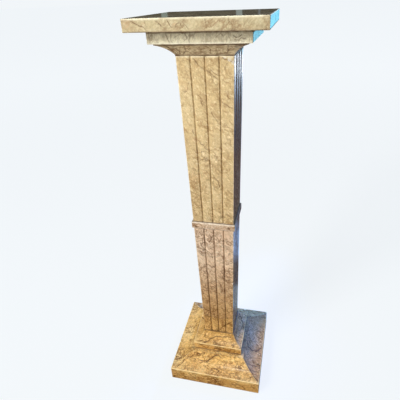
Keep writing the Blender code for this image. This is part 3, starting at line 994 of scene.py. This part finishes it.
def neck_outline(bottom, top):
    corners = [(INNERMOST, bottom), (NECK_FOOT_HALF, bottom)]
    corners += hollow_arc((NECK_FOOT_HALF, bottom + NECK_LIP), (NECK_HEAD_HALF, top - NECK_LIP), NECK_HOLLOW, 18)
    corners += [(NECK_HEAD_HALF, top), (INNERMOST, top)]
    last = len(corners)
    return eased(corners, {1: (0.0005, 0.0), 2: (0.0006, 0.0), last - 3: (0.0007, 0.3), last - 2: (0.0005, 0.2)})


def shaft_outline(bottom, top, rubbed_head):
    foot, head = shaft_half_at(bottom), shaft_half_at(top)
    corners = [(INNERMOST, bottom), (foot, bottom), (head, top), (INNERMOST, top)]
    return eased(corners, {1: (0.0006, 0.1), 2: (0.0006, rubbed_head)})


# how far the dark band of the joint reaches up from the foot of a piece, and down from its head: joint dirt, and
# painted shadow along joints that lie under an overhang or against a ledge
SEAMS = {
    "base_step": (0.0042, 0.0017),
    "lower_shaft": (0.0022, 0.0017),
    "upper_shaft": (0.0024, 0.0),
    "collar": (0.0014, 0.0),
    "neck_moulding": (0.0034, 0.0044),
    "under_slab": (0.0, 0.0056),
    "top_slab": (0.0016, 0.0),
}


def column_piece(name, outline, side, count, corner, seed, visible_bed=None, chips=()):
    bottom, top = outline[0][1], outline[-1][1]

    def step_at(half, height):
        on_bed = abs(height - bottom) < 1e-5 or abs(height - top) < 1e-5
        if on_bed and not (visible_bed is not None and abs(height - top) < 1e-5 and half > visible_bed):
            return 0.030
        return GRAIN if not on_bed else 0.0055

    rows = spaced(outline, step_at)
    mesh, points, dirt, wear, chipped = block_mesh(name, rows, side, count, corner, seed, chips)
    normals = np.empty(len(points) * 3, np.float32)
    mesh.vertex_normals.foreach_get("vector", normals)
    normals = normals.reshape(-1, 3).astype(float)
    # joint dirt with painted shadow at the foot and the head of the piece
    below, above = SEAMS.get(name, (0.0017, 0.0017))
    seam = np.maximum(
        np.clip(1.25 - (points[:, 2] - bottom) / below, 0, 1) if below else 0.0,
        np.clip((above - top + points[:, 2]) / 0.0013, 0, 1) if above else 0.0,
    )
    on_bed = (np.abs(points[:, 2] - top) < 2e-4) & (visible_bed is not None)
    seam = np.where(on_bed, 0.0, seam) * (1.0 if name == "base_step" else 0.84)
    if visible_bed is not None and visible_bed > 0.02:
        # painted shade on the ledge, against the foot of the piece that stands on it;
        # wider and darker on the right ledge of the plinth, which is out of the light
        right = (points[:, 0] > np.abs(points[:, 1])) & (name == "plinth")
        away = np.max(np.abs(points[:, :2]), axis=1) - visible_bed
        near = np.where(right, np.clip((0.0085 - away) / 0.0020, 0, 1) * 1.1, np.clip(1.3 - away / 0.0042, 0, 1))
        seam = np.maximum(seam, np.where(np.abs(points[:, 2] - top) < 2e-4, near * 0.9, 0))
    # the grooves carry dirt and painted shade, weaker on the front and stronger on the other sides, which stand out of
    # the light
    wiped = np.where(-points[:, 1] > np.abs(points[:, 0]), LOOKS[name].get("grooves", 0.6), 1.4)
    # the painted groove shade on the front of the upper shaft fades towards its head
    if name == "upper_shaft":
        wiped = wiped * np.where(wiped < 1, 1 - 0.5 * np.clip((points[:, 2] - 0.70) / 0.22, 0, 1), 1.0)
    put_float(mesh, "dirt", np.maximum(np.clip(dirt, 0, 1) * wiped, seam))
    put_float(mesh, "wear", wear)
    put_float(mesh, "chip", chipped)
    layers = vein_fields(points, normals, VEINS.get(name, []) + stray_veins(name, points, normals, seed), seed)
    for key, layer in zip(("vein_a", "vein_b", "vein_c"), layers):
        put_vector(mesh, key, layer)
    put_vector(mesh, "patch", patch_field(points, PATCHES.get(name, [])))
    mesh.materials.append(marble("marble of the " + name.replace("_", " "), LOOKS[name]))
    piece = bpy.data.objects.new(name + "_stone", mesh)
    bpy.context.scene.collection.objects.link(piece)
    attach(piece, "root")
    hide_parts(name)
    return piece


def stray_veins(name, points, normals, seed):
    """Seeded veins for the three faces that the listed ones don't reach, walked from vertex to vertex."""
    rnd = random.Random(seed * 31 + 5)
    low, high = points[:, 2].min(), points[:, 2].max()
    tall = high - low
    out = []
    # the sides other than the front, away from the beds
    open_face = (points[:, 2] > low + 0.002) & (points[:, 2] < high - 0.001) & (normals[:, 1] > -0.2)
    index = np.flatnonzero(open_face)
    if not len(index):
        return out
    wanted = int(round(4 + tall * 30))
    for k in range(wanted):
        start = points[index[rnd.randrange(len(index))]]
        heading = np.array([rnd.uniform(-1, 1), rnd.uniform(-1, 1), rnd.uniform(-0.9, 0.9)])
        line, here = [tuple(start)], start
        for _ in range(rnd.randint(3, 6)):
            heading = heading / np.linalg.norm(heading)
            target = here + heading * rnd.uniform(0.009, 0.016)
            away = np.linalg.norm(points[index] - target, axis=1)
            here = points[index[int(np.argmin(away))]]
            if tuple(here) != line[-1]:
                line.append(tuple(here))
            heading = heading + np.array([rnd.uniform(-1, 1) for _ in range(3)]) * 0.55
        if len(line) > 2:
            out.append((k % 3, rnd.uniform(0.0007, 0.0012), rnd.uniform(0.55, 0.95), line))
    return out


def build_column():
    step = JOINT
    column_piece(
        "plinth",
        splayed_outline(PLINTH_HALF, PLINTH_EDGE_TOP, PLINTH_LEDGE_HALF, PLINTH_LIP, 0.0, PLINTH_TOP, PLINTH_HOLLOW, 0.0014),
        plain_side, 130, 0.0014, 11, visible_bed=STEP_HALF,
        chips=[((0.1423, -0.1423, 0.0490), 0.0055, 0.0011), ((-0.1423, -0.040, 0.0490), 0.0045, 0.0007), ((0.060, 0.1423, 0.0490), 0.0060, 0.0009), ((-0.1423, 0.1423, 0.020), 0.0050, 0.0009)],
    )
    column_piece(
        "base_step",
        splayed_outline(STEP_HALF, STEP_EDGE_TOP, STEP_LEDGE_HALF, STEP_LIP, PLINTH_TOP + step, STEP_TOP, STEP_HOLLOW, 0.0014),
        plain_side, 70, 0.0013, 12, visible_bed=SHAFT_FOOT_HALF,
        chips=[((-0.0776, 0.030, 0.1110), 0.0045, 0.0007)],
    )
    column_piece(
        "lower_shaft", shaft_outline(STEP_TOP + step, LOWER_SHAFT_TOP, 0.2),
        grooved_side, 10, 0.0010, 13,
        chips=[((0.0500, -0.0500, 0.366), 0.0040, 0.0007), ((-0.0500, 0.0500, 0.300), 0.0045, 0.0008)],
    )
    collar_half = shaft_half_at((LOWER_SHAFT_TOP + step + COLLAR_TOP) / 2) + COLLAR_PROUD
    column_piece(
        "collar", slab_outline(collar_half, LOWER_SHAFT_TOP + step, COLLAR_TOP, 0.0014, (0.45, 1.0)),
        plain_side, 54, 0.0013, 14, visible_bed=shaft_half_at(COLLAR_TOP),
        chips=[((collar_half, -0.018, COLLAR_TOP), 0.0038, 0.0007)],
    )
    column_piece(
        "upper_shaft", shaft_outline(COLLAR_TOP + step, UPPER_SHAFT_TOP, 1.0),
        grooved_side, 11, 0.0010, 15,
        chips=[((0.0570, -0.0570, 0.792), 0.0040, 0.0006), ((-0.0575, 0.0575, 0.850), 0.0045, 0.0008)],
    )
    column_piece(
        "neck_moulding", neck_outline(UPPER_SHAFT_TOP + step, NECK_TOP),
        plain_side, 70, 0.0008, 16,
    )
    column_piece(
        "under_slab", slab_outline(UNDER_SLAB_HALF, NECK_TOP + step, UNDER_SLAB_TOP, 0.0012, (0.6, 0.2)),
        plain_side, 92, 0.0012, 17,
        chips=[((0.045, 0.1004, NECK_TOP + step), 0.0045, 0.0008)],
    )
    column_piece(
        "top_slab", slab_outline(TOP_SLAB_HALF, UNDER_SLAB_TOP + step, TOTAL_HEIGHT, 0.0012, (0.1, 0.9)),
        plain_side, 122, 0.0012, 18, visible_bed=0.0,
        chips=[((-0.1317, 0.052, TOTAL_HEIGHT), 0.0042, 0.0007), ((0.085, 0.1317, UNDER_SLAB_TOP + step), 0.0050, 0.0009)],
    )


build_column()


# ---- camera ----------------------------------------------------------------
def place_camera():
    yaw, pitch, roll = (math.radians(a) for a in (13.2238, -30.8173, -2.2736))
    fwd0 = Vector((-math.sin(yaw), math.cos(yaw), 0))
    right0 = Vector((math.cos(yaw), math.sin(yaw), 0))
    up0 = Vector((0, 0, 1))
    fwd = math.cos(pitch) * fwd0 + math.sin(pitch) * up0
    up1 = -math.sin(pitch) * fwd0 + math.cos(pitch) * up0
    right = math.cos(roll) * right0 + math.sin(roll) * up1
    up = -math.sin(roll) * right0 + math.cos(roll) * up1
    data = bpy.data.cameras.new("camera")
    data.sensor_width = 36.0
    data.lens = 341.555 / 400 * 36.0
    data.shift_x = -16.957 / 400
    data.shift_y = -0.018 / 400
    data.clip_start, data.clip_end = 0.01, 300.0
    camera = bpy.data.objects.new("camera", data)
    bpy.context.scene.collection.objects.link(camera)
    turn = Matrix((right, up, -fwd)).transposed().to_4x4()
    camera.matrix_world = Matrix.Translation((0.1784, -0.7599, 1.0785)) @ turn
    bpy.context.scene.camera = camera


place_camera()


# ---- studio ----------------------------------------------------------------
PAPER = (0.887, 0.922, 0.947)


def unseen(obj, camera=True, diffuse=True, glossy=True, shadow=True):
    obj.visible_camera = camera
    obj.visible_diffuse = diffuse
    obj.visible_glossy = glossy
    obj.visible_shadow = shadow
    obj.visible_transmission = False
    return obj


def flat(name, corners, material):
    mesh = bpy.data.meshes.new(name)
    mesh.from_pydata(corners, [], [tuple(range(len(corners)))])
    mesh.materials.append(material)
    obj = bpy.data.objects.new(name, mesh)
    bpy.context.scene.collection.objects.link(obj)
    return obj


def disc(name, radius, height, material):
    corners = [
        (radius * math.cos(math.tau * k / 64), radius * math.sin(math.tau * k / 64), height)
        for k in range(64)
    ]
    return flat(name, corners, material)


def glow(name, colour, strength):
    material = bpy.data.materials.new(name)
    material.use_nodes = True
    tree = material.node_tree
    tree.nodes.clear()
    shine = tree.nodes.new("ShaderNodeEmission")
    shine.inputs["Color"].default_value = (*colour, 1.0)
    shine.inputs["Strength"].default_value = strength
    out = tree.nodes.new("ShaderNodeOutputMaterial")
    tree.links.new(shine.outputs[0], out.inputs["Surface"])
    return material


def floor_paper():
    """Pale paper: mostly of an even brightness, with a soft share that takes the shadow."""
    material = bpy.data.materials.new("pale paper")
    material.use_nodes = True
    shader = material.node_tree.nodes["Principled BSDF"]
    shader.inputs["Base Color"].default_value = (0.095, 0.099, 0.101, 1.0)
    shader.inputs["Roughness"].default_value = 1.0
    shader.inputs["Specular IOR Level"].default_value = 0.0
    shader.inputs["Emission Color"].default_value = (*PAPER, 1.0)
    tree = material.node_tree
    coords = tree.nodes.new("ShaderNodeTexCoord")
    far = tree.nodes.new("ShaderNodeVectorMath")
    far.operation = "LENGTH"
    lift = tree.nodes.new("ShaderNodeMapRange")
    lift.interpolation_type = "SMOOTHSTEP"
    for key, number in (("From Min", 0.6), ("From Max", 6.0), ("To Min", 0.915), ("To Max", 0.965)):
        lift.inputs[key].default_value = number
    tree.links.new(coords.outputs["Object"], far.inputs[0])
    tree.links.new(far.outputs["Value"], lift.inputs["Value"])
    tree.links.new(lift.outputs["Result"], shader.inputs["Emission Strength"])
    return material


def wood_bounce():
    material = bpy.data.materials.new("warm bounce")
    material.use_nodes = True
    shader = material.node_tree.nodes["Principled BSDF"]
    shader.inputs["Base Color"].default_value = (0.16, 0.085, 0.035, 1.0)
    shader.inputs["Roughness"].default_value = 0.6
    return material


def card(name, x0, x1, z0, z1, y, material):
    obj = flat(name, [(x0, y, z0), (x1, y, z0), (x1, y, z1), (x0, y, z1)], material)
    return unseen(obj, camera=False, diffuse=False, shadow=False)


def sun(name, azimuth, elevation, strength, colour, spread):
    """azimuth 0 comes from -Y, 90 from +X"""
    data = bpy.data.lights.new(name, "SUN")
    data.energy = strength
    data.color = colour
    data.angle = math.radians(spread)
    obj = bpy.data.objects.new(name, data)
    bpy.context.scene.collection.objects.link(obj)
    a, e = math.radians(azimuth), math.radians(elevation)
    from_dir = Vector((math.sin(a) * math.cos(e), -math.cos(a) * math.cos(e), math.sin(e)))
    obj.rotation_mode = "QUATERNION"
    obj.rotation_quaternion = (-from_dir).to_track_quat("-Z", "Y")
    return obj


def graded(material, axis, start, end, stops):
    """Colours a glow along an axis of its card."""
    tree = material.node_tree
    shine = next(n for n in tree.nodes if n.bl_idname == "ShaderNodeEmission")
    coords = tree.nodes.new("ShaderNodeTexCoord")
    split = tree.nodes.new("ShaderNodeSeparateXYZ")
    spread = tree.nodes.new("ShaderNodeMapRange")
    spread.inputs["From Min"].default_value = start
    spread.inputs["From Max"].default_value = end
    ramp = tree.nodes.new("ShaderNodeValToRGB")
    while len(ramp.color_ramp.elements) > 1:
        ramp.color_ramp.elements.remove(ramp.color_ramp.elements[-1])
    ramp.color_ramp.elements[0].position = 0.0
    ramp.color_ramp.elements[0].color = (*stops[0][1], 1.0)
    for place, colour in stops[1:]:
        at = (place - start) / (end - start)
        ramp.color_ramp.elements.new(at).color = (*colour, 1.0)
    tree.links.new(coords.outputs["Object"], split.inputs[0])
    tree.links.new(split.outputs[axis], spread.inputs["Value"])
    tree.links.new(spread.outputs["Result"], ramp.inputs["Fac"])
    tree.links.new(ramp.outputs["Color"], shine.inputs["Color"])
    return material


def level_card(name, x0, x1, y0, y1, z, material):
    obj = flat(name, [(x0, y0, z), (x1, y0, z), (x1, y1, z), (x0, y1, z)], material)
    return unseen(obj, camera=False, diffuse=False, shadow=False)


def softbox(name, place, size, power, colour):
    """A soft light of even strength at any distance."""
    data = bpy.data.lights.new(name, "AREA")
    data.shape = "SQUARE"
    data.size = size
    data.energy = power
    data.color = colour
    data.use_nodes = True
    tree = data.node_tree
    even = tree.nodes.new("ShaderNodeLightFalloff")
    even.inputs["Strength"].default_value = 1.0
    shine = next(n for n in tree.nodes if n.bl_idname == "ShaderNodeEmission")
    tree.links.new(even.outputs["Constant"], shine.inputs["Strength"])
    obj = bpy.data.objects.new(name, data)
    bpy.context.scene.collection.objects.link(obj)
    obj.location = place
    obj.rotation_mode = "QUATERNION"
    obj.rotation_quaternion = (Vector((0, 0, 0.55)) - Vector(place)).to_track_quat("-Z", "Y")
    return obj


def spot(name, place, target, cone, blend, power, colour, radius):
    data = bpy.data.lights.new(name, "SPOT")
    data.energy = power
    data.color = colour
    data.spot_size = math.radians(cone)
    data.spot_blend = blend
    data.shadow_soft_size = radius
    obj = bpy.data.objects.new(name, data)
    bpy.context.scene.collection.objects.link(obj)
    obj.location = place
    obj.rotation_mode = "QUATERNION"
    obj.rotation_quaternion = (Vector(target) - Vector(place)).to_track_quat("-Z", "Y")
    return obj


def studio():
    unseen(disc("floor", 120.0, -0.0003, floor_paper()), diffuse=False, glossy=False, shadow=False)
    unseen(disc("bounce", 6.0, -0.0012, wood_bounce()), camera=False, shadow=False)

    # what the polish reflects behind the column: a dark wall with gaps of light, and a window
    card("dark_wall", -3.4, 0.30, 1.02, 1.80, 3.0, graded(glow("dark wall", (1, 1, 1), 1.0), "X", -3.4, 0.3, [(-3.4, (0.030, 0.024, 0.014)), (-1.0, (0.022, 0.018, 0.012)), (-0.2, (0.006, 0.006, 0.008))]))
    card("gap_left", -1.205, -1.140, 1.02, 1.70, 2.98, glow("gap left", (0.17, 0.22, 0.20), 1.0))
    card("gap_right", -0.435, -0.375, 1.02, 1.70, 2.98, glow("gap right", (0.22, 0.27, 0.26), 1.0))
    card("gap_far", -0.22, -0.20, 1.02, 1.70, 2.98, glow("gap far", (0.10, 0.12, 0.14), 1.0))
    card("window", 0.22, 0.70, 0.0, 2.20, 3.0, graded(glow("window", (1, 1, 1), 2.4), "Z", 0.0, 2.20, [
        (0.00, (0.100, 0.130, 0.200)),
        (0.12, (0.230, 0.300, 0.420)),
        (0.30, (0.600, 0.760, 1.000)),
        (0.37, (1.250, 1.450, 1.700)),
        (0.52, (1.350, 1.480, 1.700)),
        (0.60, (0.190, 0.540, 0.720)),
        (0.84, (0.180, 0.520, 0.700)),
        (1.04, (0.150, 0.440, 0.600)),
        (1.10, (0.800, 0.900, 1.000)),
        (2.20, (0.800, 0.900, 1.000)),
    ]))
    far_floor = flat("far_floor", [(0.03, 0.15, 0.001), (0.107, 0.15, 0.001), (0.72, 3.0, 0.001), (0.03, 3.0, 0.001)], graded(glow("far floor", (1, 1, 1), 1.0), "Y", 0.15, 3.0, [
        (0.15, (0.110, 0.110, 0.140)),
        (0.44, (0.120, 0.130, 0.170)),
        (0.53, (0.600, 1.020, 1.850)),
        (0.68, (0.600, 1.020, 1.850)),
        (0.80, (0.090, 0.080, 0.120)),
        (1.60, (0.120, 0.050, 0.100)),
        (2.10, (0.060, 0.090, 0.200)),
        (2.55, (0.130, 0.160, 0.280)),
        (3.00, (0.240, 0.310, 0.480)),
    ]))
    card("wall_right", 0.72, 1.60, 0.0, 1.30, 2.99, glow("wall right", (0.020, 0.026, 0.040), 1.0))
    unseen(far_floor, camera=False, diffuse=False, shadow=False)
    level_card("sky_strip", -0.16, 0.17, 0.1435, 0.300, 0.0015, glow("sky strip", (0.40, 0.54, 0.68), 1.0))
    card("sky_right", 0.85, 3.6, 0.3, 3.4, 2.2, glow("sky right", (0.42, 0.68, 1.0), 0.10))
    level_card("lamp", -0.36, 0.04, -1.30, -1.12, 2.4, glow("lamp", (1.0, 0.90, 0.68), 20.0))

    card("strip_lamp", -0.155, 0.0, 1.355, 1.425, -1.15, glow("strip lamp", (1.0, 0.93, 0.74), 24.0))

    world = bpy.data.worlds.new("studio")
    bpy.context.scene.world = world
    world.use_nodes = True
    tree = world.node_tree
    tree.nodes.clear()
    seen = tree.nodes.new("ShaderNodeBackground")
    seen.inputs["Color"].default_value = (*PAPER, 1.0)
    seen.inputs["Strength"].default_value = 1.0
    soft = tree.nodes.new("ShaderNodeBackground")
    soft.inputs["Color"].default_value = (0.74, 0.90, 1.0, 1.0)
    soft.inputs["Strength"].default_value = 0.13
    path = tree.nodes.new("ShaderNodeLightPath")
    either = tree.nodes.new("ShaderNodeMixShader")
    tree.links.new(path.outputs["Is Camera Ray"], either.inputs[0])
    tree.links.new(soft.outputs[0], either.inputs[1])
    tree.links.new(seen.outputs[0], either.inputs[2])
    out = tree.nodes.new("ShaderNodeOutputWorld")
    tree.links.new(either.outputs[0], out.inputs["Surface"])

    key = softbox("key", (-1.29, -1.72, 1.95), 0.9, 11.2, (1.0, 0.985, 0.95))
    fill = sun("fill", -8, 12, 0.50, (1.0, 0.97, 0.90), 40)
    head = spot("head fill", (-0.28, -1.15, 0.32), (-0.03, -0.10, 1.00), 24, 0.7, 36.0, (1.0, 0.97, 0.90), 0.12)
    foot = spot("foot cool", (0.95, 0.36, 0.74), (0.105, -0.03, 0.05), 22, 0.6, 36.0, (0.03, 0.13, 1.0), 0.15)
    rear = spot("rear cool", (0.34, 1.25, 0.52), (0.05, 0.13, 0.03), 17, 0.6, 200.0, (0.12, 0.34, 1.0), 0.15)
    rear.visible_glossy = False
    key.visible_glossy = fill.visible_glossy = head.visible_glossy = foot.visible_glossy = False
    sun("cool", 122, 30, 0.72, (0.25, 0.46, 1.0), 40)

    view = bpy.context.scene.view_settings
    view.view_transform = "Standard"
    view.look = "None"


studio()
